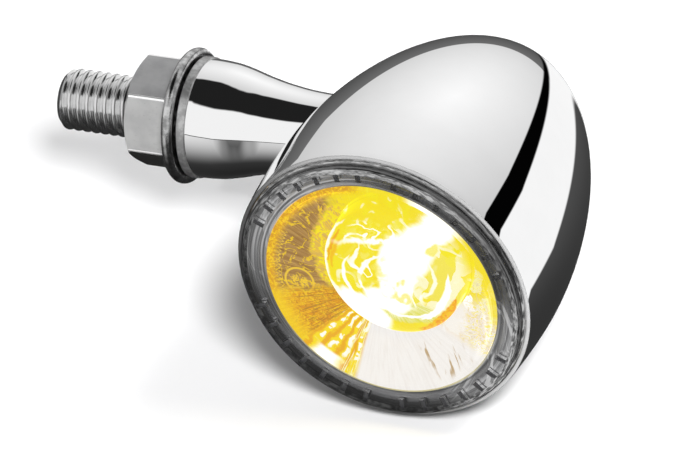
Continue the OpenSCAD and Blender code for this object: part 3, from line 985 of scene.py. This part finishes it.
def amber_left(mat, polar, wavy, long):
    """Left: darker amber mirror with streaks, bright painted lines of light, a ring and a beaded
    line.
    """
    fine, thin = mat.fine, mat.thin
    edge = wavy.radius - (13.4 - (wavy.around - 110.0) * 0.083)
    rings = mat.add("TexWave", {
        "Vector": mat.vector(mat.wavy[0] - -9.5, mat.wavy[1] - 1.5, 0.0),
        "Scale": 0.16, "Distortion": 9.0, "Detail": 2.5, "Detail Scale": 1.4,
    }, "Fac", wave_type="RINGS", rings_direction="SPHERICAL")
    field = mat.noise(mat.vector(mat.right, mat.up, 17.0), scale=0.26, detail=1, warp=1.0)
    fold = (field * (TURN * 5.0)).sin()
    lit_lines = ((fold.step(0.86, 0.97) * fine.step(0.40, 0.52))
            .max(rings.step(0.92, 0.985) * fine.step(0.46, 0.56)))
    amber = mat.layers(
        BROWN,
        (long.step(0.35, 0.66), (0.46, 0.26, 0.075)),
        (thin.step(0.53, 0.66), (0.60, 0.36, 0.09)),
        (lit_lines * 0.85, GOLD))
    # pale patches where the dark amber meets the yellow
    pale = (wavy.around.band(108, 196, 6) * edge.band(-2.2, 0.5, 0.35)
            * mat.patches(0.75, warp=1.5).step(0.46, 0.54))
    ring = ((mat.right + 11.3) ** 2.0 + (mat.up + 0.6) ** 2.0).sqrt()
    bead = (polar.around * (TURN / 4.6)).sin()
    beads = abs(abs(polar.radius - 14.5) - abs(bead) * 0.62)
    rim = wavy.around.band(96, 212, 6) * polar.radius.step(13.9, 15.2)
    return [
        (wavy.around.band(113, 192, 5) * edge.step(-0.5, 0.7), amber),
        (pale * 0.85, mat.mix(thin.step(0.42, 0.6), (0.62, 0.37, 0.12), (0.90, 0.55, 0.02))),
        (abs(ring - 1.95).step(0.22, 0.08) * 0.85, LIT_LINE_GOLD),
        (ring.step(1.3, 0.9) * fine.step(0.48, 0.56) * 0.8, LIT_LINE_GOLD),
        (beads.step(0.17, 0.05) * polar.around.band(150, 200, 3) * 0.75, (0.95, 0.64, 0.04)),
        (rim, mat.mix(fine.step(0.44, 0.60), (0.72, 0.34, 0.0), (0.96, 0.62, 0.0))),
    ]


def deep_lower_left(mat, polar, wavy):
    """Lower left: deep amber with radial streaks."""
    shadow = mat.streaks(0.7, 0.30, seed=15.0).step(0.50, 0.60)
    deep = mat.layers(
        (0.70, 0.27, 0.0),
        (mat.thin.step(0.40, 0.64), (0.90, 0.52, 0.0)),
        (mat.patches(0.9, warp=2.0).step(0.50, 0.60) * 0.7, GOLD),
        (mat.patches(1.3, warp=2.0, seed=5.0).step(0.53, 0.60) * 0.7, (0.50, 0.20, 0.0)),
        (shadow * polar.radius.step(13.2, 12.0) * 0.75, (0.36, 0.15, 0.01)),
        (polar.radius.step(12.6, 15.4) * 0.8, (0.96, 0.66, 0.0)))
    return [(wavy.around.band(190, 224, 5), deep)]


def bright_bars(mat, polar, wavy):
    """Facets that show as bright upright bars and blocks."""
    bars = (polar.around * (TURN / 7.6) + mat.broad * 9.0).sin()
    rows = (polar.radius * (TURN / 2.5) + mat.other * 16.0).sin()
    bright = (bars.step(0.25, 0.7) * (rows + mat.fine * 1.4).step(0.6, 1.1)
              * polar.radius.step(14.0, 13.0))
    facets = mat.layers(
        (0.86, 0.42, 0.0),
        ((bars + mat.fine * 1.6).step(-0.2, 1.1), (0.965, 0.74, 0.0)),
        (bright, (1.05, 1.05, 0.95)),
        (polar.around.band(241, 249, 1.5) * mat.thin.step(0.5, 0.6), (1.0, 0.98, 0.55)))
    return [(polar.around.band(219, 251, 1.6), facets),
            (wavy.around.band(226, 240, 3.5) * polar.radius.step(13.7, 14.3), HOT)]


def cream_bottom(mat, polar, wavy, long):
    """Bottom: painted reflection of a pale silver-cream wedge, with thin brown upright streaks."""
    slanted = mat.right + mat.up * 0.20
    # the marks are thin brown streaks painted into the reflection
    marks = mat.noise(mat.vector(slanted * 0.95, mat.up * 0.14, 4.0),
                      scale=1.0, rough=0.6, warp=0.3)
    marks = (wavy.around.band(297, 322, 3) * marks.step(0.55, 0.61)
             * polar.radius.step(8.6, 9.8) * polar.radius.step(15.4, 14.2))
    cream = mat.layers(
        CREAM,
        (long.step(0.42, 0.66), (0.90, 0.865, 0.83)),
        (mat.thin.step(0.58, 0.68) * 0.6, (0.97, 0.95, 0.93)),
        (marks * 0.85, (0.46, 0.29, 0.10)))
    return [(polar.around.band(249.5, 330, 1.8), cream)]


def pale_right(mat, polar):
    """Right: pale pink and yellow facets with scribbled lines."""
    radius, angle = polar.radius, polar.angle
    cell = mat.cells(mat.wavy, (0.8, 0.42), scale=0.9, smoothness=0.15)
    field = mat.noise(mat.vector(mat.right * 0.7, mat.up, 23.0),
                      scale=0.45, detail=2, rough=0.55, warp=1.5)
    scribble = (field * (TURN * 6)).sin()
    pink = mat.mix(cell.step(0.4, 0.6), (0.94, 0.86, 0.80), (0.97, 0.94, 0.90))
    facets = mat.layers(
        YELLOW,
        (cell.step(0.45, 0.50), (0.99, 0.93, 0.45)),
        (cell.step(0.68, 0.74), HOT),
        (angle.step(6, -10) * 0.94, pink),
        (mat.fine.step(0.54, 0.60) * angle.band(-33, 0, 5) * radius.step(10.5, 12.5) * 0.8,
         (0.94, 0.74, 0.22)),
        (scribble.step(0.70, 0.95) * angle.band(-34, 30, 5) * radius.step(11.2, 12.6) * 0.85,
         (0.96, 0.82, 0.10)),
        (scribble.step(-0.75, -0.97) * angle.band(-34, 30, 5) * radius.step(10.6, 12.0) * 0.6,
         (0.80, 0.66, 0.40)),
        (radius.step(14.0, 15.2) * angle.band(-12, 38, 6) * 0.9, YELLOW))
    return [(angle.band(-33, 40, 3.5) * radius.step(8.0, 9.4), facets)]


def lit_reflector():
    mat = LitOptic("lit_reflector")
    polar, wavy = mat.polar, Polar(*mat.wavy)
    long = mat.streaks(0.42, 0.16, seed=3.0)
    orange_spot = mat.blob(mat.wavy, (1.6, 12.0), (1.3, 0.8), turn=60, soft=0.6)
    colour = mat.layers(
        YELLOW,
        (mat.thin.step(0.52, 0.68), (0.97, 0.84, 0.02)),
        (orange_spot * 0.8, (0.88, 0.42, 0.0)),
        *amber_left(mat, polar, wavy, long),
        *deep_lower_left(mat, polar, wavy),
        *bright_bars(mat, polar, wavy),
        *cream_bottom(mat, polar, wavy, long),
        *pale_right(mat, polar),
        (wavy.angle.band(41, 68, 6), HOT))    # white-hot fan up to the window's edge
    return mat.glow(colour, rough=0.15, specular=0.03)


def dome_facets(mat, bent):
    """Fine loops all over, and facets to the right and above."""
    flat = (mat.right, mat.up)
    side = mat.blob(bent, (7.5, 3.5), (4.6, 6.5), turn=0, soft=0.25)
    cell = mat.cells(bent, (0.55, 0.38), scale=1.0, smoothness=0.12)
    above = mat.blob(bent, (0.5, 9.6), (6.0, 3.2), turn=10, soft=0.3)
    dim = mat.loops(flat, scale=0.15, count=5.0, seed=3.0).step(0.35, 0.95)
    bright = mat.loops(flat, scale=0.19, count=4.0, seed=11.0).step(0.72, 0.97)
    return [
        (dim * mat.other.step(0.46, 0.60) * 0.5, (0.94, 0.74, 0.0)),
        (bright * mat.broad.step(0.50, 0.60) * 0.9, (1.04, 1.0, 0.6)),
        (side * cell.step(0.52, 0.62) * 0.85, (1.05, 1.02, 0.72)),
        (side * cell.step(0.42, 0.34) * 0.7, (0.93, 0.83, 0.12)),
        (above * mat.fine.step(0.60, 0.68) * 0.6, (0.90, 0.60, 0.0)),
    ]


# strokes: place, radius, half width, start and end in degrees, width left at the ends,
# squash, colour
LEFT_STROKES = (
    ((1.8, 2.8), 8.55, 0.22, 138, 176, 0.35, 1.0, (0.93, 0.42, 0.0)),
    ((1.6, 2.6), 7.9, 0.30, 146, 182, 0.35, 1.0, (0.95, 0.56, 0.0)),
    ((1.9, 2.9), 9.25, 0.44, 128, 262, 0.12, 1.0, (1.1, 1.08, 0.9)),
    ((-2.4, 5.6), 2.3, 0.16, 62, 152, 0.35, 1.0, HOT),
    ((1.2, 1.6), 6.0, 0.30, 150, 262, 0.2, 1.0, HOT),
    ((1.6, 1.2), 4.3, 0.30, 128, 214, 0.2, 1.0, HOT),
)
# white-hot blobs, a streak and then the heart: place, size, turn, softness
HOT_BLOBS = (
    ((-0.6, 7.2), (4.2, 0.34), 8, 0.6),
    ((2.3, 2.4), (2.5, 6.2), -6, 0.14),
    ((-2.6, -3.4), (4.0, 1.7), -36, 0.16),
    ((0.4, -1.6), (3.0, 1.6), -20, 0.16),
    ((4.4, 5.8), (3.0, 3.2), 45, 0.16),
)
# looped areas: place, size, turn, seed
LOOPED = (
    ((-1.6, 3.4), (2.6, 3.2), 0, 21.0),
    ((3.4, 0.2), (3.0, 2.6), 20, 31.0),
    ((0.2, 8.6), (3.4, 1.8), 10, 41.0),
)


def dome_strokes(mat, bent):
    """Left crescents, then the pale low patch with the lines round it."""
    def strokes(*rows):
        return [(mat.stroke(bent, *shape), colour) for *shape, colour in rows]

    patch = mat.blob(bent, (3.6, -3.3), (3.7, 1.55), turn=6, soft=0.16)
    patch_colour = mat.mix(mat.thin.step(0.42, 0.62), (0.74, 0.73, 0.05), (0.95, 0.94, 0.50))
    orange = mat.mix(mat.fine.step(0.42, 0.58), (0.93, 0.34, 0.0), (0.96, 0.60, 0.0))
    return strokes(*LEFT_STROKES) + [(patch * 0.95, patch_colour)] + strokes(
        ((3.2, 0.4), 4.6, 0.24, -128, -40, 0.35, 1.05, HOT),
        ((1.9, 2.9), 9.0, 0.75, -74, -18, 0.1, 1.0, orange),
        ((1.9, 2.9), 7.6, 0.55, -66, 8, 0.15, 1.0, HOT),
        ((2.6, 3.2), 5.0, 0.30, -48, 24, 0.2, 1.0, (1.1, 1.1, 0.85)))


def dome_loops(mat, bent):
    """Yellow and white loops over the heart."""
    covers = []
    for at, size, turn, seed in LOOPED:
        here = mat.blob(bent, at, size, turn, soft=0.35)
        yellow = mat.loops(bent, scale=0.30, count=4.5, seed=seed).step(0.25, 0.9)
        broken = mat.noise(mat.vector(mat.right, mat.up, seed), scale=0.6, detail=2)
        white = mat.loops(bent, scale=0.30, count=4.5, seed=seed).step(-0.50, -0.95)
        covers += [(here * yellow * broken.step(0.42, 0.56) * 0.8, (0.97, 0.87, 0.12)),
                   (here * white * 0.85, HOT)]
    return covers


def lit_dome():
    mat = LitOptic("lit_dome")
    bent = mat.warped(1.5)
    colour = mat.layers(
        YELLOW,
        (mat.broad.step(0.4, 0.62), (0.95, 0.83, 0.0)),
        *dome_facets(mat, bent),
        *dome_strokes(mat, bent),
        *[(mat.blob(bent, *shape), HOT) for shape in HOT_BLOBS],
        *dome_loops(mat, bent))
    return mat.glow(colour, rough=0.04, specular=0.06)


# ---- materials and parts ---------------------------------------------------------------
housing_chrome = housing_finish()
stalk_chrome = stalk_finish()
zinc_steel = steel("zinc_steel")
stud_steel = steel("stud_steel", (0.80, 0.80, 0.80), rough=0.13, grain=(0.5, 1, 1), speck=0.08,
                   depth=0.006)
nut_zinc = zinc_nut()
washer_steel = steel("washer_steel", (0.66, 0.66, 0.66), rough=0.14, speck=0.55, depth=0.05)
plated = chrome("plated_plastic", bright=0.8, dull=0.788, rough=0.08, wear=0.05)
black = plastic("black_plastic", (0.02, 0.02, 0.022), rough=0.3)
# near-black, put on the clear lens's pocket faces as painted shade
pocket_shade = plastic("dark_recess", (0.004, 0.004, 0.004), Specular_IOR_Level=0.12)
white = plastic("white_plastic", (0.8, 0.8, 0.77), rough=0.45)
rubber = plastic("black_rubber", (0.018, 0.018, 0.018), rough=0.6)
pad_rubber = plastic("thermal_rubber", (0.3, 0.35, 0.42), rough=0.7, speck=0.15)
board = plastic("white_board", (0.8, 0.81, 0.82), rough=0.3)
ceramic = plastic("white_ceramic", (0.85, 0.85, 0.8))
aluminium = steel("bare_aluminium", (0.75, 0.76, 0.77), rough=0.38, grain=(1, 1, 6))
brass = steel("brass_standoff", (0.7, 0.52, 0.2), rough=0.28, grain=(1, 8, 1))
green = plastic("green_board", (0.01, 0.09, 0.04), rough=0.22, speck=0.25)
ferrite = plastic("ferrite", (0.045, 0.045, 0.05), rough=0.75, speck=0.3)
can = plastic("capacitor_can", (0.04, 0.05, 0.1), rough=0.25)
red = plastic("red_insulation", (0.5, 0.02, 0.015), rough=0.35)
core = plastic("core_insulation", (0.6, 0.18, 0.05))
lens_clear = clear_lens()
bezel_plating = bezel_finish()
bowl_glow = lit_reflector()
dome_glow = lit_dome()
silicone = emitter("amber_silicone", (1.0, 0.6, 0.08), power=3.0)

# CAD pieces that keep their own shape
KEPT = {
    "spigot_seal": rubber, "spigot_washer": zinc_steel, "spigot_nut": zinc_steel,
    "cable_sheath": rubber, "cable_cores": core, "lens_gasket": rubber,
    "collimator_holder": white, "led_dome": silicone, "led_package": ceramic,
    "led_board": board, "thermal_pad": pad_rubber, "heat_sink": aluminium,
    "board_screws": zinc_steel, "heat_sink_screws": zinc_steel, "driver_standoffs": brass,
    "driver_board": green, "driver_screws": zinc_steel, "driver_choke": ferrite,
    "driver_capacitor": can, "driver_chip": black, "cable_socket": white, "led_leads": red,
}
# CAD pieces that get a detailed shape: piece, builder, body it rides on, slot, materials
DETAILED = (
    ("housing", build_housing, "head", "housing_chrome", [housing_chrome]),
    ("stalk", build_stalk, "stalk", "stalk_chrome", [stalk_chrome]),
    ("threaded_stud", build_stud, "stalk", "zinc_steel", [stud_steel]),
    ("hex_nut", build_nut, "nut", "zinc_steel", [nut_zinc]),
    ("lock_washer", build_washer, "washer", "washer_steel", [washer_steel]),
    ("front_lens", build_lens, "head", "clear_lens", [lens_clear, pocket_shade]),
    ("bezel_ring", build_bezel, "head", "plated_plastic", [bezel_plating]),
    ("toothed_ring", build_toothed_ring, "head", "black_plastic", [black]),
    ("reflector", build_reflector, "head", "mirror_coat", [bowl_glow, plated]),
    ("collimator_lens", build_collimator, "head", "clear_optic", [dome_glow]),
)
shapes = [build() for _, build, *_ in DETAILED]
for piece, material in KEPT.items():
    give(NODES[piece], material)
for piece, *_, materials in DETAILED:
    give(NODES[piece], materials[0])
for shape, (piece, _, body, slot, materials) in zip(shapes, DETAILED):
    give(shape, *materials)
    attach(shape, body)
    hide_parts(piece)


# ---- studio world ------------------------------------------------------------------
def direction(azimuth, elevation):
    """Unit vector from degrees: azimuth 0 is towards -Y, positive towards +X."""
    azimuth, elevation = math.radians(azimuth), math.radians(elevation)
    return (math.sin(azimuth) * math.cos(elevation), -math.cos(azimuth) * math.cos(elevation),
            math.sin(elevation))


CARD_SIDE = (0.514, 0.358, -0.779)    # the white card lies beyond this plane
FLAG_SIDE = (0.636, 0.21, -0.743)     # the black flag lies between this one and the card


def room_brightness(net, look, dot, cap):
    """Walls above, a dark table below a rim that rises and falls round the room."""
    x, y, z = net.split(look)
    azimuth = x.arctan2(y * -1.0) * DEGREES
    elevation = z.arcsin() * DEGREES
    # a large soft box high towards +Y, falling away evenly, and a white wall towards -Y
    away = dot(direction(-176, 28)).arccos() * DEGREES
    wall = (1.03 - away * 0.0083).max(0.5)
    front = dot(direction(-5, 25)).step(math.cos(math.radians(86)), math.cos(math.radians(50)))
    wall = wall.max(front * 0.93)
    rim = (-2.0 + azimuth.ramp(-5.0, -60.0) * 5.0 - azimuth.ramp(-132.0, -176.0) * 15.0
           - azimuth.ramp(130.0, 165.0) * 10.0)
    below = rim - elevation
    table = 0.008 + 0.15 * (below.max(0.0) * (-1 / 32.0)).exp()
    # two lighter patches on the table, towards -X and towards -Y
    side = azimuth.ramp(-6.0, -26.0) * azimuth.ramp(-110.0, -60.0)
    table = table + side * 0.16 * (below.max(0.0) * (-1 / 16.0)).exp()
    patch = azimuth.ramp(5.0, -3.0) * azimuth.ramp(-62.0, -36.0)
    table = table + patch * 0.52 * elevation.step(-62.0, -4.0)
    edge = below.step(-0.9, -0.3) * below.step(1.0, 0.5)
    return net.layers(wall, (below.step(-0.25, 0.25), table), (edge * y.step(0.1, -0.1), 0.03))


def studio_world():
    """Camera rays see plain white, reflections see the studio, diffuse rays a dim white."""
    world = bpy.data.worlds.new("studio")
    bpy.context.scene.world = world
    net = Net(world)
    incoming = net.add("NewGeometry", output="Incoming")
    look = net.add("VectorMath", {0: incoming, 3: -1.0}, operation="SCALE")

    def dot(vector):
        return net.add("VectorMath", {0: look, 1: vector}, "Value", operation="DOT_PRODUCT")

    def cap(azimuth, elevation, radius, soft):
        """1 within radius degrees of a direction."""
        return dot(direction(azimuth, elevation)).step(
            math.cos(math.radians(radius + soft)), math.cos(math.radians(radius - soft)))

    room = room_brightness(net, look, dot, cap)
    around_card = cap(158, -8, radius=46.0, soft=3.0)
    card = dot(CARD_SIDE).step(0.508, 0.522) * around_card
    low_spot = cap(166, -51, radius=29.0, soft=0.8)
    flag = dot(FLAG_SIDE).step(0.322, 0.334) * (dot(CARD_SIDE).step(0.522, 0.508) * around_card)
    ceiling = cap(-20, 81, radius=25.0, soft=2.0)
    for azimuth, elevation, radius in ((-84, 77, 24.5), (-94, 70, 22.0)):
        ceiling = ceiling.max(cap(azimuth, elevation, radius, soft=1.6))
    room = net.layers(
        room,
        (card, 0.97),
        (low_spot, dot((0, 0, -1)).step(0.35, 0.72, 0.075, 0.035)),
        (flag, 0.001),
        (ceiling, 0.014))

    reflected = net.add("Background", {0: room, 1: 1.0})
    seen = net.add("Background", {0: rgba(1.0), 1: 1.05})
    diffuse = net.add("Background", {0: rgba(1.0), 1: 0.12})
    ray = net.add("LightPath", output="Is Camera Ray")
    unseen = net.mix_shader(ray.output("Is Diffuse Ray"), reflected, diffuse)
    net.finish("World", net.mix_shader(ray, unseen, seen))


studio_world()


# ---- floor ---------------------------------------------------------------------------
def hide_from_reflections(obj):
    obj.visible_glossy = False
    obj.visible_transmission = False


def floor_finish():
    mat = Material("pale_floor")
    tint = mat.mix(mat.noise(mat.point(), scale=0.02), (0.86, 0.86, 0.865), (0.88, 0.88, 0.885))
    return mat.surface(mat.principled(tint, 0.0, 0.6))


FLOOR_Z = CAD_BOX[0][2]
bpy.ops.mesh.primitive_plane_add(size=4.0, location=(0.03, 0, FLOOR_Z - 0.00005))
floor = bpy.context.object
floor.name = "studio_floor"
give(floor, floor_finish())
hide_from_reflections(floor)

# ---- camera ----------------------------------------------------------------------------
RIGHT = Vector((0.91804, 0.37796, -0.11919))
UP = Vector((-0.13112, 0.57348, 0.80851))
TO_CAMERA = Vector((0.37395, -0.72675, 0.57602))
CAMERA_DISTANCE = 2.49446
CAMERA_RIGHT, CAMERA_UP = -0.004131251, 0.006765067    # off the line to the mouth's centre

camera_data = bpy.data.cameras.new("camera")
camera_data.sensor_width = 36.0
camera_data.sensor_fit = "HORIZONTAL"
camera_data.lens = 1012.62857
camera_data.clip_end = 50.0
camera = bpy.data.objects.new("camera", camera_data)
bpy.context.scene.collection.objects.link(camera)
mouth = Vector((HEAD_X * MM, -AXIS_DEPTH * MM, 0))
aside = RIGHT * CAMERA_RIGHT + UP * CAMERA_UP
camera.matrix_world = (Matrix.Translation(mouth + TO_CAMERA * CAMERA_DISTANCE + aside)
                       @ Matrix((RIGHT, UP, TO_CAMERA)).transposed().to_4x4())
bpy.context.scene.camera = camera


# ---- lights ----------------------------------------------------------------------------
def add_light(name, kind, place, away, **settings):
    """A light at a place, shining against the direction away."""
    data = bpy.data.lights.new(name, kind)
    for key, value in settings.items():
        setattr(data, key, value)
    light = bpy.data.objects.new(name, data)
    bpy.context.scene.collection.objects.link(light)
    light.location = place
    light.rotation_euler = away.to_track_quat("Z", "Y").to_euler()
    hide_from_reflections(light)
    return light


def area(name, towards, size, power):
    """Round area light, 0.8 m from the lamp in some direction."""
    away = Vector(towards).normalized()
    return add_light(name, "AREA", Vector((0.02, 0, 0)) + away * 0.8, away,
                     shape="DISK", size=size, energy=power)


def link_light(light, role, name, objects, exclude=False):
    """Limits what a light reaches or what blocks it to some objects, or to all but them."""
    group = bpy.data.collections.new(name)
    for obj in objects:
        group.objects.link(obj)
    setattr(light.light_linking, role, group)
    if exclude:
        for entry in group.collection_objects:
            entry.light_linking.link_state = "EXCLUDE"


# the key lights the lamp; on the floor its place is taken by two softer lights
KEY_DIRECTION = TO_CAMERA + UP * 0.175 + RIGHT * 0.100
key_light = area("key", KEY_DIRECTION, size=0.18, power=12.0)
link_light(key_light, "receiver_collection", "not_floor", [floor], exclude=True)
side_light = area("floor_side", KEY_DIRECTION, size=0.22, power=7.8)
link_light(side_light, "receiver_collection", "only_floor", [floor])
top_light = area("floor_top", (0.64, 0.20, 0.80), size=0.36, power=4.7)
top_light.light_linking.receiver_collection = bpy.data.collections["only_floor"]
# these cast no shadow from the top light; "stud" also matches the studio floor
SHADOWLESS = ("stud", "stalk", "washer", "nut", "cable")
small_parts = [obj for obj in bpy.context.scene.objects
               if obj.type == "MESH" and any(word in obj.name for word in SHADOWLESS)]
link_light(top_light, "blocker_collection", "small_parts", small_parts, exclude=True)

# narrow soft spot that lightens one place on the floor
FILL_RADIUS = 0.027
fill_place = TO_CAMERA * 0.7 - RIGHT * 0.42 + UP * 0.15
fill_away = fill_place - Vector((-0.0225, 0.0150, FLOOR_Z))
add_light("fill", "SPOT", fill_place, fill_away.normalized(),
          spot_size=2 * math.atan(FILL_RADIUS / fill_away.length), spot_blend=1.0,
          shadow_soft_size=0.05, energy=30.0)

view = bpy.context.scene.view_settings
view.view_transform = "Standard"
view.look = "None"
